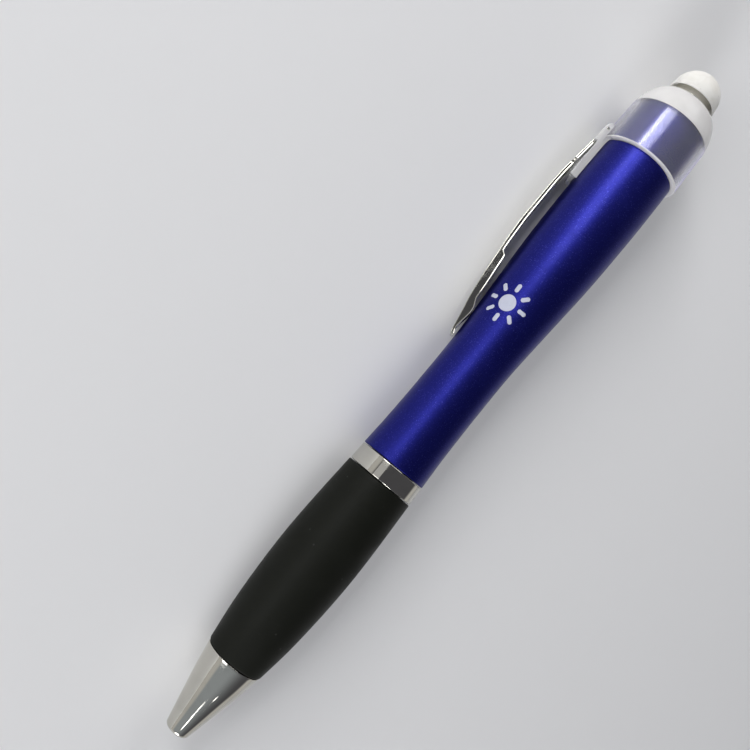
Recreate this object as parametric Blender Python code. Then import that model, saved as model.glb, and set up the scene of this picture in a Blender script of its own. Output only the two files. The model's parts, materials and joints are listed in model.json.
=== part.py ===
"""Light-up stylus pen: a twist ballpoint with a rubber grip, a lacquered barrel that holds a lamp and three button
cells, a frosted cap with a sprung metal clip, and a soft stylus dome that is also the lamp's push button.

Sizes are in millimetres and turn into metres where a mesh is made. Along the pen, s is the distance from the nose
end and r the distance from the axis. In the pen's own frame X runs from the nose to the stylus, Z points at the
clip, and the whole frame is then laid on its side, as a pen rests on a desk.
"""

import math

import bmesh
import bpy
from mathutils import Vector

MM = 0.001

# Outside of the pen
LENGTH = 139.0
NOSE_END = 14.35
NOSE_OUTLINE = [(0.9, 2.28), (5.0, 3.2), (10.0, 4.3), (NOSE_END, 5.06)]
GRIP_START = 14.5
GRIP_END = 50.75
GRIP_OUTLINE = [(GRIP_START, 5.16), (21.0, 6.0), (28.0, 6.52), (35.0, 6.74), (42.0, 6.6), (GRIP_END, 6.2)]
RING_START = 50.9
RING_END = 54.1
RING_LOW_R = 6.14
RING_TOP_R = 6.04
BARREL_START = 54.25
BARREL_SHOULDER = 118.6
BARREL_OUTLINE = [(BARREL_START, 6.02), (61.0, 5.73), (70.0, 5.6), (78.0, 5.66), (87.5, 6.17), (97.0, 6.71),
                  (106.0, 6.91), (112.0, 6.93), (BARREL_SHOULDER, 6.82)]
SPIGOT_R = 6.35
SPIGOT_END = 127.8
CAP_RIM = 118.75
CAP_RIM_R = 7.62
CAP_SHOULDER = 126.3
CAP_SHOULDER_R = 7.36
CAP_CEILING = 128.6
CAP_TOP = 132.35
CAP_TOP_R = 4.35
DOME_R = 4.3
DOME_START = 133.75
SKIRT_R = 4.42

# Fits: running clearance, and the small gap left where two pieces seat
RUN = 0.15
SEAT = 0.1

# Twist drive: the refill moves by the lead over one half turn of the grip
TURN = math.pi
TRAVEL = 4.6
PIN_S = 68.5
PIN_R = 0.8
PIN_REACH = 4.2
CAM_SLOT_HALF = 1.05
CAM_DWELL = math.radians(15)
SLEEVE_IN = 3.05
SLEEVE_OUT = 3.6
CAM_OUT = 4.35
BORE_R = 4.5

# Refill
BALL_R = 0.5
BALL_S = 2.3
TIP_SHANK_R = 1.15
TUBE_R = 1.5
TUBE_BORE = 1.05
REFILL_END = 66.0

# Lamp and power pack
POCKET_R = 5.2
POCKET_START = 96.0
LED_R = 1.5
LED_FRONT = 92.0
LED_BASE = 97.0
LEAD_R = 0.22
LEAD_Y = 1.0
GROOVE_Y = 4.72
GROOVE_HALF = 0.45
HOLDER_OUT = 5.05
HOLDER_IN = 4.05
HOLDER_START = 96.3
HOLDER_WALL = 98.6
HOLDER_END = 121.0
CELL_R = 3.95
CELL_HEIGHT = 3.55
CELL_FIRST = 103.5
CELL_COUNT = 3

# Push button
STEM_R = 1.2
COLLAR_R = 3.5

# Clip: stations of (s, outer face above the axis, half width, depth of the side walls)
SHEET = 0.45
CLIP_FLAT_START = 99.5
CLIP_FLAT_END = 107.5
CLIP_LIP = 77.55
CLIP_STATIONS = [
    (120.6, 8.32, 1.8, 0.5), (119.0, 8.42, 1.8, 0.5), (116.5, 8.6, 1.8, 0.5), (113.0, 8.96, 1.85, 0.5),
    (112.2, 9.04, 2.15, 0.5), (111.8, 9.08, 2.2, 0.6), (110.0, 9.24, 2.2, 0.6),
    (CLIP_FLAT_END, 9.36, 2.2, 0.62), (CLIP_FLAT_START, 9.42, 2.2, 0.72),
    (97.3, 9.3, 2.2, 0.72), (95.2, 9.14, 2.19, 0.68), (92.9, 8.93, 2.16, 0.66), (92.5, 8.89, 2.16, 1.38),
    (88.2, 8.48, 2.06, 1.44), (85.1, 8.06, 1.98, 1.3), (84.0, 7.9, 1.94, 1.2), (83.2, 7.77, 1.92, 1.45),
    (82.4, 7.61, 1.88, 1.65), (81.5, 7.4, 1.82, 1.5), (80.4, 7.18, 1.75, 1.15), (79.4, 6.99, 1.68, 0.8),
    (78.4, 6.81, 1.58, 0.52), (CLIP_LIP, 6.66, 1.46, 0.52), (77.4, 6.62, 1.44, 0.75), (77.1, 6.52, 1.34, 0.65),
    (76.9, 6.36, 1.18, 0.45),
]
CLIP_SPLAY = 0.1

# Hinge pin of the clip, and the knuckle at the clip's root that turns on it
CLIP_PIN_S = 120.0
CLIP_PIN_OUT = 7.68
CLIP_PIN_R = 0.28
CLIP_PIN_HALF = 2.5
KNUCKLE_R = 0.62
KNUCKLE_BORE = 0.38
KNUCKLE_HALF = 1.7

# Saddle moulded on the cap: a tongue on the barrel and two cheeks that hold the pin
SADDLE_HALF = 2.6
TONGUE_END = 110.0
TONGUE_TOP = 7.92
CHEEK_OUTLINE = [(117.5, TONGUE_TOP), (117.1, 8.52), (120.4, 8.24), (121.05, 7.95), (121.3, 7.5)]
CHANNEL_START = 115.0
CHANNEL_END = 120.95
CHANNEL_HALF = 2.0
CHANNEL_FLOOR = 7.65
KNUCKLE_ROOM_FLOOR = 6.95
KNUCKLE_ROOM_START = 119.15

# Facets: round outside pieces, inside pieces, wire turns
ROUND = 40
INNER = 24
SMALL = 16
POINTS_PER_TURN = 9
SHARP_ANGLE = math.radians(35)


def point(s, across, out):
    """Place in the pen's own frame, in metres."""
    return Vector(((s - LENGTH / 2) * MM, across * MM, out * MM))


def arc(centre, radii, start, end, steps):
    """Points on an ellipse about centre (s, r), with angles in degrees from the direction of the stylus."""
    points = []
    for i in range(steps + 1):
        angle = math.radians(start + (end - start) * i / steps)
        s = centre[0] + radii[0] * math.cos(angle)
        r = centre[1] + radii[1] * math.sin(angle)
        points.append((round(s, 6), round(r, 6)))
    return points


def slope(outline, i):
    """Slope of an outline at a station, from its neighbours."""
    before = outline[max(i - 1, 0)]
    after = outline[min(i + 1, len(outline) - 1)]
    return (after[1] - before[1]) / (after[0] - before[0])


def radius_at(outline, s):
    """Radius of a smooth outline at s: a cubic between stations that keeps each station's slope."""
    i = 0
    while i < len(outline) - 2 and s > outline[i + 1][0]:
        i += 1
    (s0, r0), (s1, r1) = outline[i], outline[i + 1]
    span = s1 - s0
    t = (s - s0) / span
    rise = 3 * t ** 2 - 2 * t ** 3
    lead_in = (t ** 3 - 2 * t ** 2 + t) * span * slope(outline, i)
    lead_out = (t ** 3 - t ** 2) * span * slope(outline, i + 1)
    return r0 + (r1 - r0) * rise + lead_in + lead_out


def faired(outline, steps, extra=0.0):
    """Even stations along a smooth outline, with the radius enlarged by extra."""
    first, last = outline[0][0], outline[-1][0]
    stations = [first + (last - first) * i / steps for i in range(steps + 1)]
    return [(s, radius_at(outline, s) + extra) for s in stations]


def finish(name, colour, roughness, metallic=0.0, transmission=0.0):
    """Principled material with one colour (red, green, blue)."""
    material = bpy.data.materials.new(name)
    material.use_nodes = True
    shader = material.node_tree.nodes["Principled BSDF"]
    shader.inputs["Base Color"].default_value = (*colour, 1.0)
    shader.inputs["Roughness"].default_value = roughness
    shader.inputs["Metallic"].default_value = metallic
    shader.inputs["Transmission Weight"].default_value = transmission
    material.diffuse_color = (*colour, 1.0)
    return material


def add_object(name, data, material=None):
    """New object of a mesh or curve, linked to the scene."""
    piece = bpy.data.objects.new(name, data)
    bpy.context.scene.collection.objects.link(piece)
    if material:
        data.materials.append(material)
    return piece


def from_bmesh(name, bm, material):
    """Closed mesh object with outward faces, smooth but for its sharp edges."""
    bmesh.ops.recalc_face_normals(bm, faces=bm.faces)
    mesh = bpy.data.meshes.new(name)
    bm.to_mesh(mesh)
    bm.free()
    mesh.shade_smooth()
    mesh.set_sharp_from_angle(angle=SHARP_ANGLE)
    return add_object(name, mesh, material)


def turned(name, profile, material=None, segments=ROUND):
    """Solid of revolution about the pen's axis. A profile of (s, r) that starts on the axis is a solid core, and any
    other is a closed ring that makes a tube."""
    bm = bmesh.new()
    corners = [bm.verts.new(point(s, 0, r)) for s, r in profile]
    pairs = list(zip(corners, corners[1:]))
    if profile[0][1] > 0:
        pairs.append((corners[-1], corners[0]))
    edges = [bm.edges.new(pair) for pair in pairs]
    bmesh.ops.spin(bm, geom=corners + edges, cent=(0, 0, 0), axis=(1, 0, 0), angle=math.tau, steps=segments,
                   use_merge=True)
    bmesh.ops.remove_doubles(bm, verts=bm.verts, dist=1e-7)
    return from_bmesh(name, bm, material)


def lofted(name, sections, material=None):
    """Solid through a row of like sections, each a ring of points, with flat ends."""
    bm = bmesh.new()
    rings = [[bm.verts.new(p) for p in section] for section in sections]
    for ring, following in zip(rings, rings[1:]):
        for i in range(len(ring)):
            j = (i + 1) % len(ring)
            bm.faces.new((ring[i], ring[j], following[j], following[i]))
    bm.faces.new(rings[0])
    bm.faces.new(reversed(rings[-1]))
    return from_bmesh(name, bm, material)


def block(name, s_range, across_range, out_range):
    """Box between two stations, two places across and two heights."""
    sections = []
    for s in s_range:
        low, high = out_range
        left, right = across_range
        sections.append([point(s, left, low), point(s, right, low), point(s, right, high), point(s, left, high)])
    return lofted(name, sections)


def side_cut(name, side, half):
    """Solid of one side outline of (s, height), as wide as half to each side of the pen's middle."""
    return lofted(name, [[point(s, across, out) for s, out in side] for across in (-half, half)])


def cross_pin(name, radius, half, material=None):
    """Round pin across the pen on the clip's hinge axis."""
    circle = arc((CLIP_PIN_S, CLIP_PIN_OUT), (radius, radius), 0, 360, SMALL)[:-1]
    return lofted(name, [[point(s, across, out) for s, out in circle] for across in (-half, half)], material)


def tube(name, path, wire, material):
    """Round wire along a path."""
    curve = bpy.data.curves.new(name, "CURVE")
    curve.dimensions = "3D"
    curve.bevel_depth = wire * MM
    curve.bevel_resolution = 1
    curve.use_fill_caps = True
    spline = curve.splines.new("POLY")
    spline.points.add(len(path) - 1)
    for node, place in zip(spline.points, path):
        node.co = (*place, 1.0)
    return add_object(name, curve, material)


def coil(name, s_range, radii, wire, turns, material):
    """Spring wound from one unbroken wire, its radius running from the first value to the second."""
    count = turns * POINTS_PER_TURN
    path = []
    for i in range(count + 1):
        t = i / count
        angle = math.tau * turns * t
        radius = radii[0] + (radii[1] - radii[0]) * t
        s = s_range[0] + (s_range[1] - s_range[0]) * t
        path.append(point(s, radius * math.cos(angle), radius * math.sin(angle)))
    near = POINTS_PER_TURN // 2
    apart = [(p - q).length for i, p in enumerate(path) for q in path[i + near:]]
    print(f"{name}: least gap between turns {min(apart) / MM - 2 * wire:.2f} mm")
    return tube(name, path, wire, material)


def boolean(target, tool, operation):
    """Live Boolean by a hidden tool that stays with its target."""
    tool.hide_render = True
    tool.display_type = "WIRE"
    modifier = target.modifiers.new(tool.name, "BOOLEAN")
    modifier.operation = operation
    modifier.object = tool


def nose_cone(chrome):
    """Plated cone: rounded end, guide hole for the tip, seat for the return spring, spigot into the grip core."""
    front = [(0.0, 1.3), (0.0, 1.6)] + arc((0.75, 1.6), (0.75, 0.62), 165, 105, 2)
    cone = faired(NOSE_OUTLINE, 5)
    spigot = [(NOSE_END, 3.45), (20.0, 3.45), (20.0, 2.55)]
    bore = [(4.2, 2.55), (4.2, 1.3)]
    return turned("nose_cone", front + cone + spigot + bore, chrome)


def grip_core(plastic):
    """Stepped tube under the rubber, with a journal that turns in the barrel."""
    profile = [(14.6, 3.6), (14.6, 4.35), (22.0, 4.35), (22.0, 4.9), (50.7, 4.9), (50.7, CAM_OUT), (58.0, CAM_OUT),
               (58.0, SLEEVE_OUT + RUN), (20.4, SLEEVE_OUT + RUN), (20.4, 3.6)]
    return turned("grip_core", profile, plastic, INNER)


def grip_sleeve(rubber):
    """Swelling rubber grip with softened ends."""
    skin = faired(GRIP_OUTLINE, 9)
    skin[0] = (GRIP_START + 0.3, skin[0][1])
    skin[-1] = (GRIP_END - 0.2, skin[-1][1])
    front = [(GRIP_START, 4.45), (GRIP_START, skin[0][1] - 0.3)]
    back = [(GRIP_END, skin[-1][1] - 0.15), (GRIP_END, 5.0)]
    return turned("grip_sleeve", front + skin + back + [(21.9, 5.0), (21.9, 4.45)], rubber)


def centre_ring(chrome):
    """Plated ring where the grip meets the barrel."""
    chamfer = 0.15
    profile = [(RING_START, BORE_R), (RING_START, RING_LOW_R - chamfer), (RING_START + chamfer, RING_LOW_R),
               (RING_END - chamfer, RING_TOP_R), (RING_END, RING_TOP_R - chamfer), (RING_END, BORE_R)]
    return turned("centre_ring", profile, chrome)


def twist_sleeve(plastic):
    """Guide tube fixed in the grip core, with a straight slot that keeps the drive pin from turning."""
    profile = [(40.0, SLEEVE_IN), (40.0, SLEEVE_OUT), (70.0, SLEEVE_OUT), (70.0, SLEEVE_IN)]
    sleeve = turned("twist_sleeve", profile, plastic, INNER)
    half = PIN_R + RUN
    slot_start = PIN_S - TRAVEL - PIN_R - 0.5
    slot = block("sleeve_slot", (slot_start, 71.0), (-half, half), (2.0, 4.5))
    boolean(sleeve, slot, "DIFFERENCE")
    return [sleeve, slot]


def cam_tube(plastic):
    """Cam fixed in the barrel: its half-turn helical slot draws the drive pin to the nose, with a level dwell at each
    end."""
    inside = SLEEVE_OUT + RUN
    cam = turned("cam_tube", [(58.3, inside), (58.3, CAM_OUT), (74.0, CAM_OUT), (74.0, inside)], plastic, INNER)
    steps = 20
    sections = []
    for i in range(-2, steps + 3):
        turn = min(max(i / steps, 0.0), 1.0)
        dwell = (min(i, 0) + max(i - steps, 0)) / 2 * CAM_DWELL
        angle = TURN * turn + dwell
        s = PIN_S - TRAVEL * turn
        ring = []
        for r, side in ((3.3, -1), (4.8, -1), (4.8, 1), (3.3, 1)):
            ring.append(point(s + side * CAM_SLOT_HALF, -r * math.sin(angle), r * math.cos(angle)))
        sections.append(ring)
    slot = lofted("cam_slot", sections)
    boolean(cam, slot, "DIFFERENCE")
    return [cam, slot]


def refill_driver(plastic):
    """Cup that pushes the refill, with the pin that runs in the sleeve's slot and the cam's helix."""
    cup = turned("refill_driver", [(58.0, 1.6), (58.0, 2.85), (70.2, 2.85), (70.5, 2.55), (70.5, 0.7), (66.2, 0.7),
                                   (66.2, 1.6)], plastic, INNER)
    bm = bmesh.new()
    length = PIN_REACH - 2.0
    bmesh.ops.create_cone(bm, cap_ends=True, segments=SMALL, radius1=PIN_R * MM, radius2=PIN_R * MM,
                          depth=length * MM)
    bmesh.ops.translate(bm, verts=bm.verts, vec=point(PIN_S, 0, PIN_REACH - length / 2))
    pin = from_bmesh("drive_pin", bm, None)
    boolean(cup, pin, "UNION")
    return [cup, pin]


def refill(brass, carbide, clear):
    """Writing point with its ball in an open socket, and the ink tube pushed on its tail."""
    socket = arc((BALL_S, 0.0), (0.56, 0.56), 21, 128.7, 6)
    outside = [(1.95, 0.6), (4.6, TIP_SHANK_R), (13.9, TIP_SHANK_R), (13.9, 2.3), (15.0, 2.3), (15.0, 1.0),
               (18.0, 1.0), (18.0, 0.2)]
    tip = turned("refill_tip", socket + outside, brass, SMALL)
    ball = turned("refill_ball", arc((BALL_S, 0.0), (BALL_R, BALL_R), 180, 0, 8), carbide, SMALL)
    ink = turned("refill_tube", [(15.15, TUBE_BORE), (15.15, TUBE_R), (REFILL_END, TUBE_R), (REFILL_END, TUBE_BORE)],
                 clear, SMALL)
    return [tip, ball, ink]


def upper_barrel(lacquer):
    """Waisted barrel: journal bore, lamp bore, power pocket and the spigot that the cap goes over."""
    skin = faired(BARREL_OUTLINE, 15)
    spigot = [(BARREL_SHOULDER, SPIGOT_R), (SPIGOT_END - 0.3, SPIGOT_R), (SPIGOT_END, SPIGOT_R - 0.3)]
    inside = [(SPIGOT_END, POCKET_R), (POCKET_START, POCKET_R), (POCKET_START, BORE_R), (BARREL_START, BORE_R)]
    return turned("upper_barrel", skin + spigot + inside, lacquer)


def light_guide(acrylic):
    """Clear rod behind the lit mark, with a pocket for the lamp."""
    pocket = LED_R + 0.25
    profile = [(76.0, 0.0), (76.0, 3.9), (76.4, 4.3), (95.5, 4.3), (95.5, pocket), (LED_FRONT + 1.2, pocket)]
    return turned("light_guide", profile + [(LED_FRONT - 0.3, 0.9), (LED_FRONT - 0.3, 0.0)], acrylic, INNER)


def lamp(epoxy, wire_metal):
    """Small round lamp with a short lead to the cells and a long one to the switch."""
    lens = arc((LED_FRONT + LED_R, 0.0), (LED_R, LED_R), 180, 90, 4)
    flange = [(LED_BASE - 1.0, LED_R), (LED_BASE - 1.0, 1.9), (LED_BASE, 1.9), (LED_BASE, 0.0)]
    led = turned("led", lens + flange, epoxy, SMALL)
    leave = LED_BASE + RUN
    short_fold = 98.95
    short = [point(leave, LEAD_Y, 0), point(short_fold, LEAD_Y, 0), point(short_fold, 3.6, 0)]
    long_fold = 97.95
    contact_s = 116.2
    long = [point(leave, -LEAD_Y, 0), point(long_fold, -LEAD_Y, 0), point(long_fold, -GROOVE_Y, 0),
            point(contact_s, -GROOVE_Y, 0), point(contact_s, -HOLDER_IN - SEAT, 0)]
    return [led, tube("led_lead_short", short, LEAD_R, wire_metal), tube("led_lead_long", long, LEAD_R, wire_metal)]


def battery_holder(plastic):
    """Tube for the cells: a front wall for the lamp, and a groove and a window for the long lead."""
    profile = [(HOLDER_START, 2.1), (HOLDER_START, HOLDER_OUT), (HOLDER_END, HOLDER_OUT), (HOLDER_END, HOLDER_IN),
               (HOLDER_WALL, HOLDER_IN), (HOLDER_WALL, 2.1)]
    holder = turned("battery_holder", profile, plastic, INNER)
    height = (-GROOVE_HALF, GROOVE_HALF)
    tools = [block("lead_groove", (97.3, 122.0), (-6.0, -4.4), height),
             block("lead_notch", (97.3, 99.0), (-4.6, -1.5), height),
             block("lead_window", (115.7, 116.7), (-4.6, -3.6), height)]
    for tool in tools:
        boolean(holder, tool, "DIFFERENCE")
    return [holder] + tools


def button_cell(number, steel):
    """Cell with its stepped cap towards the lamp and a rounded can."""
    s = CELL_FIRST + (number - 1) * (CELL_HEIGHT + SEAT)
    end = s + CELL_HEIGHT
    profile = [(s, 0.0), (s, 2.85), (s + 0.35, 3.0), (s + 0.35, 3.75), (s + 0.55, CELL_R), (end - 0.25, CELL_R),
               (end, CELL_R - 0.25), (end, 0.0)]
    return turned(f"button_cell_{number}", profile, steel, INNER)


def switch(plastic, brass):
    """Switch body that closes the battery tube, with a well for the stem and a contact for the top cell."""
    profile = [(114.95, 0.0), (114.95, 3.9), (121.1, 3.9), (121.1, HOLDER_OUT), (122.1, HOLDER_OUT), (122.1, 3.0),
               (123.0, 3.0), (123.0, 1.5), (118.9, 1.5), (118.9, 0.0)]
    body = turned("switch_housing", profile, plastic, INNER)
    plate = turned("contact_plate", [(114.45, 0.0), (114.45, 3.0), (114.8, 3.0), (114.8, 0.0)], brass, INNER)
    return [body, plate]


def push_button(plastic, chrome, silicone):
    """Stem that works the switch, plated collar and hollow stylus dome."""
    stem = turned("button_stem", [(120.3, 0.0), (120.3, STEM_R), (126.4, STEM_R), (126.4, 2.9), (127.3, 2.9),
                                  (127.3, STEM_R), (135.4, STEM_R), (135.4, 2.4), (136.1, 2.4), (136.1, 0.0)],
                  plastic, SMALL)
    bore = STEM_R + RUN
    collar = turned("stylus_collar", [(127.5, bore), (127.5, 4.6), (128.4, 4.6), (128.4, COLLAR_R),
                                      (135.3, COLLAR_R), (135.3, bore)], chrome, ROUND)
    centre = (LENGTH - DOME_R, 0.0)
    outside = arc(centre, (DOME_R, DOME_R), 0, 90, 10) + [(DOME_START, SKIRT_R)]
    hollow = DOME_R - 1.0
    ledge = 135.45
    ledge_angle = math.degrees(math.acos((ledge - centre[0]) / hollow))
    inside = [(DOME_START, SKIRT_R - 0.25), (DOME_START + 0.85, COLLAR_R + SEAT), (ledge, COLLAR_R + SEAT)]
    inside += arc(centre, (hollow, hollow), ledge_angle, 0, 6)
    dome = turned("stylus_tip", outside + inside, silicone, ROUND)
    return [stem, collar, dome]


def cap(frosted):
    """Frosted cap: a shell with a thick top, and a saddle whose tongue lies on the barrel and whose cheeks hold the
    clip's pin."""
    wall = [(CAP_RIM, 0.0), (CAP_RIM, CAP_RIM_R - 0.15), (CAP_RIM + 0.15, CAP_RIM_R)]
    shoulder = arc((CAP_SHOULDER, CAP_TOP_R), (CAP_TOP - CAP_SHOULDER, CAP_SHOULDER_R - CAP_TOP_R), 90, 0, 8)
    shell = turned("cap", wall + shoulder + [(CAP_TOP, 0.0)], frosted)
    tongue = arc((TONGUE_END + 0.4, TONGUE_TOP - 0.4), (0.4, 0.4), 180, 90, 3)
    root = 5.5
    side = [(TONGUE_END, root)] + tongue + CHEEK_OUTLINE + [(CHEEK_OUTLINE[-1][0], root)]
    saddle = side_cut("saddle", side, SADDLE_HALF)
    above = 10.0
    channel = side_cut("clip_channel", [(CHANNEL_START, above), (CHANNEL_START, CHANNEL_FLOOR),
                                        (KNUCKLE_ROOM_START, CHANNEL_FLOOR), (KNUCKLE_ROOM_START, KNUCKLE_ROOM_FLOOR),
                                        (CHANNEL_END, KNUCKLE_ROOM_FLOOR), (CHANNEL_END, above)], CHANNEL_HALF)
    pin_hole = cross_pin("pin_hole", CLIP_PIN_R + 0.03, SADDLE_HALF + 0.5)
    barrel_room = faired(BARREL_OUTLINE, 15, RUN)
    hollow_r = SPIGOT_R + 0.2
    button_room = [(CAP_RIM, hollow_r), (CAP_CEILING, hollow_r), (CAP_CEILING, COLLAR_R + 0.25),
                   (CAP_TOP + 1.0, COLLAR_R + 0.25), (CAP_TOP + 1.0, 0.0)]
    barrel_room[-1] = (CAP_RIM, barrel_room[-1][1])
    hollow = turned("cap_hollow", [(BARREL_START, 0.0)] + barrel_room + button_room)
    boolean(shell, saddle, "UNION")
    boolean(shell, channel, "DIFFERENCE")
    boolean(shell, pin_hole, "DIFFERENCE")
    boolean(shell, hollow, "DIFFERENCE")
    return [shell, saddle, channel, pin_hole, hollow]


def clip(chrome):
    """Stamped channel clip: knuckle at the root, side walls, deeper cheeks near the end and a turned-in tip."""
    sections = []
    for s, out, half, depth in CLIP_STATIONS:
        web = SHEET if s > CLIP_LIP else depth - 0.02
        foot = half + CLIP_SPLAY * (depth - SHEET)
        right = [(half, out), (foot, out - depth), (foot - SHEET, out - depth), (half - SHEET, out - web)]
        left = [(-across, height) for across, height in reversed(right)]
        sections.append([point(s, across, height) for across, height in right + left])
    strip = lofted("clip", sections, chrome)
    knuckle = cross_pin("knuckle", KNUCKLE_R, KNUCKLE_HALF)
    bore = cross_pin("knuckle_bore", KNUCKLE_BORE, KNUCKLE_HALF + 1.0)
    boolean(strip, knuckle, "UNION")
    boolean(strip, bore, "DIFFERENCE")
    return [strip, knuckle, bore]


def joint_frame(name, pen, s, out=0.0):
    """Empty on a joint's axis, carried by the pen's frame."""
    holder = bpy.data.objects.new(name, None)
    bpy.context.scene.collection.objects.link(holder)
    holder.parent = pen
    holder.location = point(s, 0, out)
    return holder


def hang(pieces, holder):
    """Parent pieces to a joint's empty without moving them in the pen's frame."""
    for piece in pieces:
        piece.parent = holder
        piece.location = -holder.location


def lay_down(pen):
    """Rest the pen on z = 0, on its cap, its grip and the clip's edge, with the middle of its box over the origin."""
    widest_s, widest_r = max(GRIP_OUTLINE, key=lambda station: station[1])
    lean = math.atan((CAP_RIM_R - widest_r) / (CAP_RIM - widest_s))
    s, out, half, _ = max(CLIP_STATIONS, key=lambda station: station[1])
    height = CAP_RIM_R - (CAP_RIM - s) * math.tan(lean)
    roll = math.asin(height / math.hypot(out, half)) - math.atan2(half, out)
    pen.rotation_euler = (-(math.pi / 2 + roll), -lean, math.pi)
    bpy.context.view_layer.update()
    graph = bpy.context.evaluated_depsgraph_get()
    places = []
    for piece in bpy.context.scene.objects:
        if piece.type != "EMPTY" and not piece.hide_render:
            solid = piece.evaluated_get(graph)
            places += [solid.matrix_world @ vertex.co for vertex in solid.to_mesh().vertices]
            solid.to_mesh_clear()
    low = [min(place[k] for place in places) for k in range(3)]
    high = [max(place[k] for place in places) for k in range(3)]
    pen.location = (-(low[0] + high[0]) / 2, -(low[1] + high[1]) / 2, -low[2])
    bpy.context.view_layer.update()


def main():
    for old in list(bpy.data.objects):
        bpy.data.objects.remove(old, do_unlink=True)

    chrome = finish("chrome", (0.72, 0.73, 0.74), 0.08, 1.0)
    rubber = finish("grip_rubber", (0.02, 0.022, 0.02), 0.75)
    lacquer = finish("blue_lacquer", (0.03, 0.03, 0.42), 0.35, 0.6)
    frosted = finish("frosted_plastic", (0.86, 0.87, 0.9), 0.4, 0.0, 0.6)
    silicone = finish("white_silicone", (0.83, 0.81, 0.76), 0.5)
    black = finish("black_plastic", (0.03, 0.03, 0.03), 0.5)
    white = finish("white_plastic", (0.8, 0.8, 0.78), 0.45)
    brass = finish("brass", (0.72, 0.55, 0.24), 0.25, 1.0)
    carbide = finish("carbide", (0.35, 0.35, 0.37), 0.2, 1.0)
    steel = finish("steel", (0.62, 0.62, 0.6), 0.25, 1.0)
    acrylic = finish("clear_acrylic", (0.93, 0.95, 0.97), 0.1, 0.0, 0.9)
    ink = finish("ink_tube", (0.55, 0.6, 0.75), 0.3, 0.0, 0.3)

    pen = bpy.data.objects.new("pen_frame", None)
    bpy.context.scene.collection.objects.link(pen)
    twist = joint_frame("twist_axis", pen, BARREL_START)
    refill_slide = joint_frame("refill_axis", pen, PIN_S)
    button_press = joint_frame("button_axis", pen, CAP_TOP)
    clip_flex = joint_frame("clip_axis", pen, CLIP_PIN_S, CLIP_PIN_OUT)
    barrel_frame = joint_frame("barrel_axis", pen, LENGTH / 2)

    fixed = [upper_barrel(lacquer), light_guide(acrylic)] + cam_tube(white) + lamp(acrylic, steel)
    fixed += battery_holder(black) + [button_cell(n, steel) for n in range(1, CELL_COUNT + 1)]
    fixed += switch(black, brass) + cap(frosted) + [cross_pin("clip_pin", CLIP_PIN_R, CLIP_PIN_HALF, steel)]
    fixed.append(coil("contact_spring", (99.55, 103.05), (3.2, 1.7), 0.2, 3, steel))
    fixed.append(coil("button_spring", (123.3, 126.1), (2.0, 2.0), 0.18, 3, steel))
    hang(fixed, barrel_frame)

    turning = [nose_cone(chrome), grip_core(black), grip_sleeve(rubber), centre_ring(chrome)] + twist_sleeve(white)
    turning.append(coil("return_spring", (4.55, 13.55), (1.85, 1.85), 0.2, 8, steel))
    hang(turning, twist)

    hang(refill(brass, carbide, ink) + refill_driver(white), refill_slide)
    hang(push_button(white, chrome, silicone), button_press)
    hang(clip(chrome), clip_flex)
    lay_down(pen)


main()
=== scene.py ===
import json
import math

import bmesh
import bpy
import numpy as np
from mathutils import Matrix

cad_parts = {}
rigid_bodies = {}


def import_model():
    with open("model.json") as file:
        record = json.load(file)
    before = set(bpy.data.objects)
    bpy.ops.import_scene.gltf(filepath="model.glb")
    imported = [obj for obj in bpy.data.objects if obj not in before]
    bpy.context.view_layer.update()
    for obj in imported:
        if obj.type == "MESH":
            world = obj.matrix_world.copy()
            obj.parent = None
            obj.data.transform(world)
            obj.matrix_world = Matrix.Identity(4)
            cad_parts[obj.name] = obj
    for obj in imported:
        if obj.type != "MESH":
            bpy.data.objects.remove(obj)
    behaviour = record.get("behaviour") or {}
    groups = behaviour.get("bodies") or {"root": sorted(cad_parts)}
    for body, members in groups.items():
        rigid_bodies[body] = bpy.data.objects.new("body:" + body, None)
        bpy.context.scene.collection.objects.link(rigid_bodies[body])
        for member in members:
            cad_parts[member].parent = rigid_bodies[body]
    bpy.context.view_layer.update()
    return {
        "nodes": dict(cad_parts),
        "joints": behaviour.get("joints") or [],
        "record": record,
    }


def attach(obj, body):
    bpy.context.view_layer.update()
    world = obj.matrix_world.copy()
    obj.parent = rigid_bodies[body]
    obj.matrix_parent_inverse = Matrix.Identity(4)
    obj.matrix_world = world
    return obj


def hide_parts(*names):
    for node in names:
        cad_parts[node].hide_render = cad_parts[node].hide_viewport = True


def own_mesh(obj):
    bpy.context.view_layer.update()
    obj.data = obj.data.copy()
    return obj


scene = bpy.context.scene
for old in list(bpy.data.objects):
    bpy.data.objects.remove(old, do_unlink=True)

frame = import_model()

# the pen's own axes, read from its joints: from nose to stylus, across, and out towards the clip
mm = 0.001
tau = 2 * math.pi
sharpEdge = 32  # degrees: edges that bend by more stay sharp
twistAt = 54.25  # the twist joint sits where the grip meets the barrel
joints = {joint["name"]: joint for joint in frame["joints"]}
alongPen = np.array(joints["twist"]["axis"])
acrossPen = np.array(joints["clip_flex"]["axis"])
towardClip = np.cross(alongPen, acrossPen)
penAxes = np.array([alongPen, acrossPen, towardClip])
noseEnd = np.array(joints["twist"]["pos_m"]) - alongPen * twistAt * mm


def placed(s, across, out):
    # millimetres along the pen from the nose, across it and out towards the clip, turned into scene metres
    spots = np.stack(np.broadcast_arrays(s, across, out), axis=-1) * mm
    return noseEnd + spots @ penAxes


def unit(ways):
    # the same directions with length one
    return np.asarray(ways) / np.linalg.norm(ways, axis=-1, keepdims=True)


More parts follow.
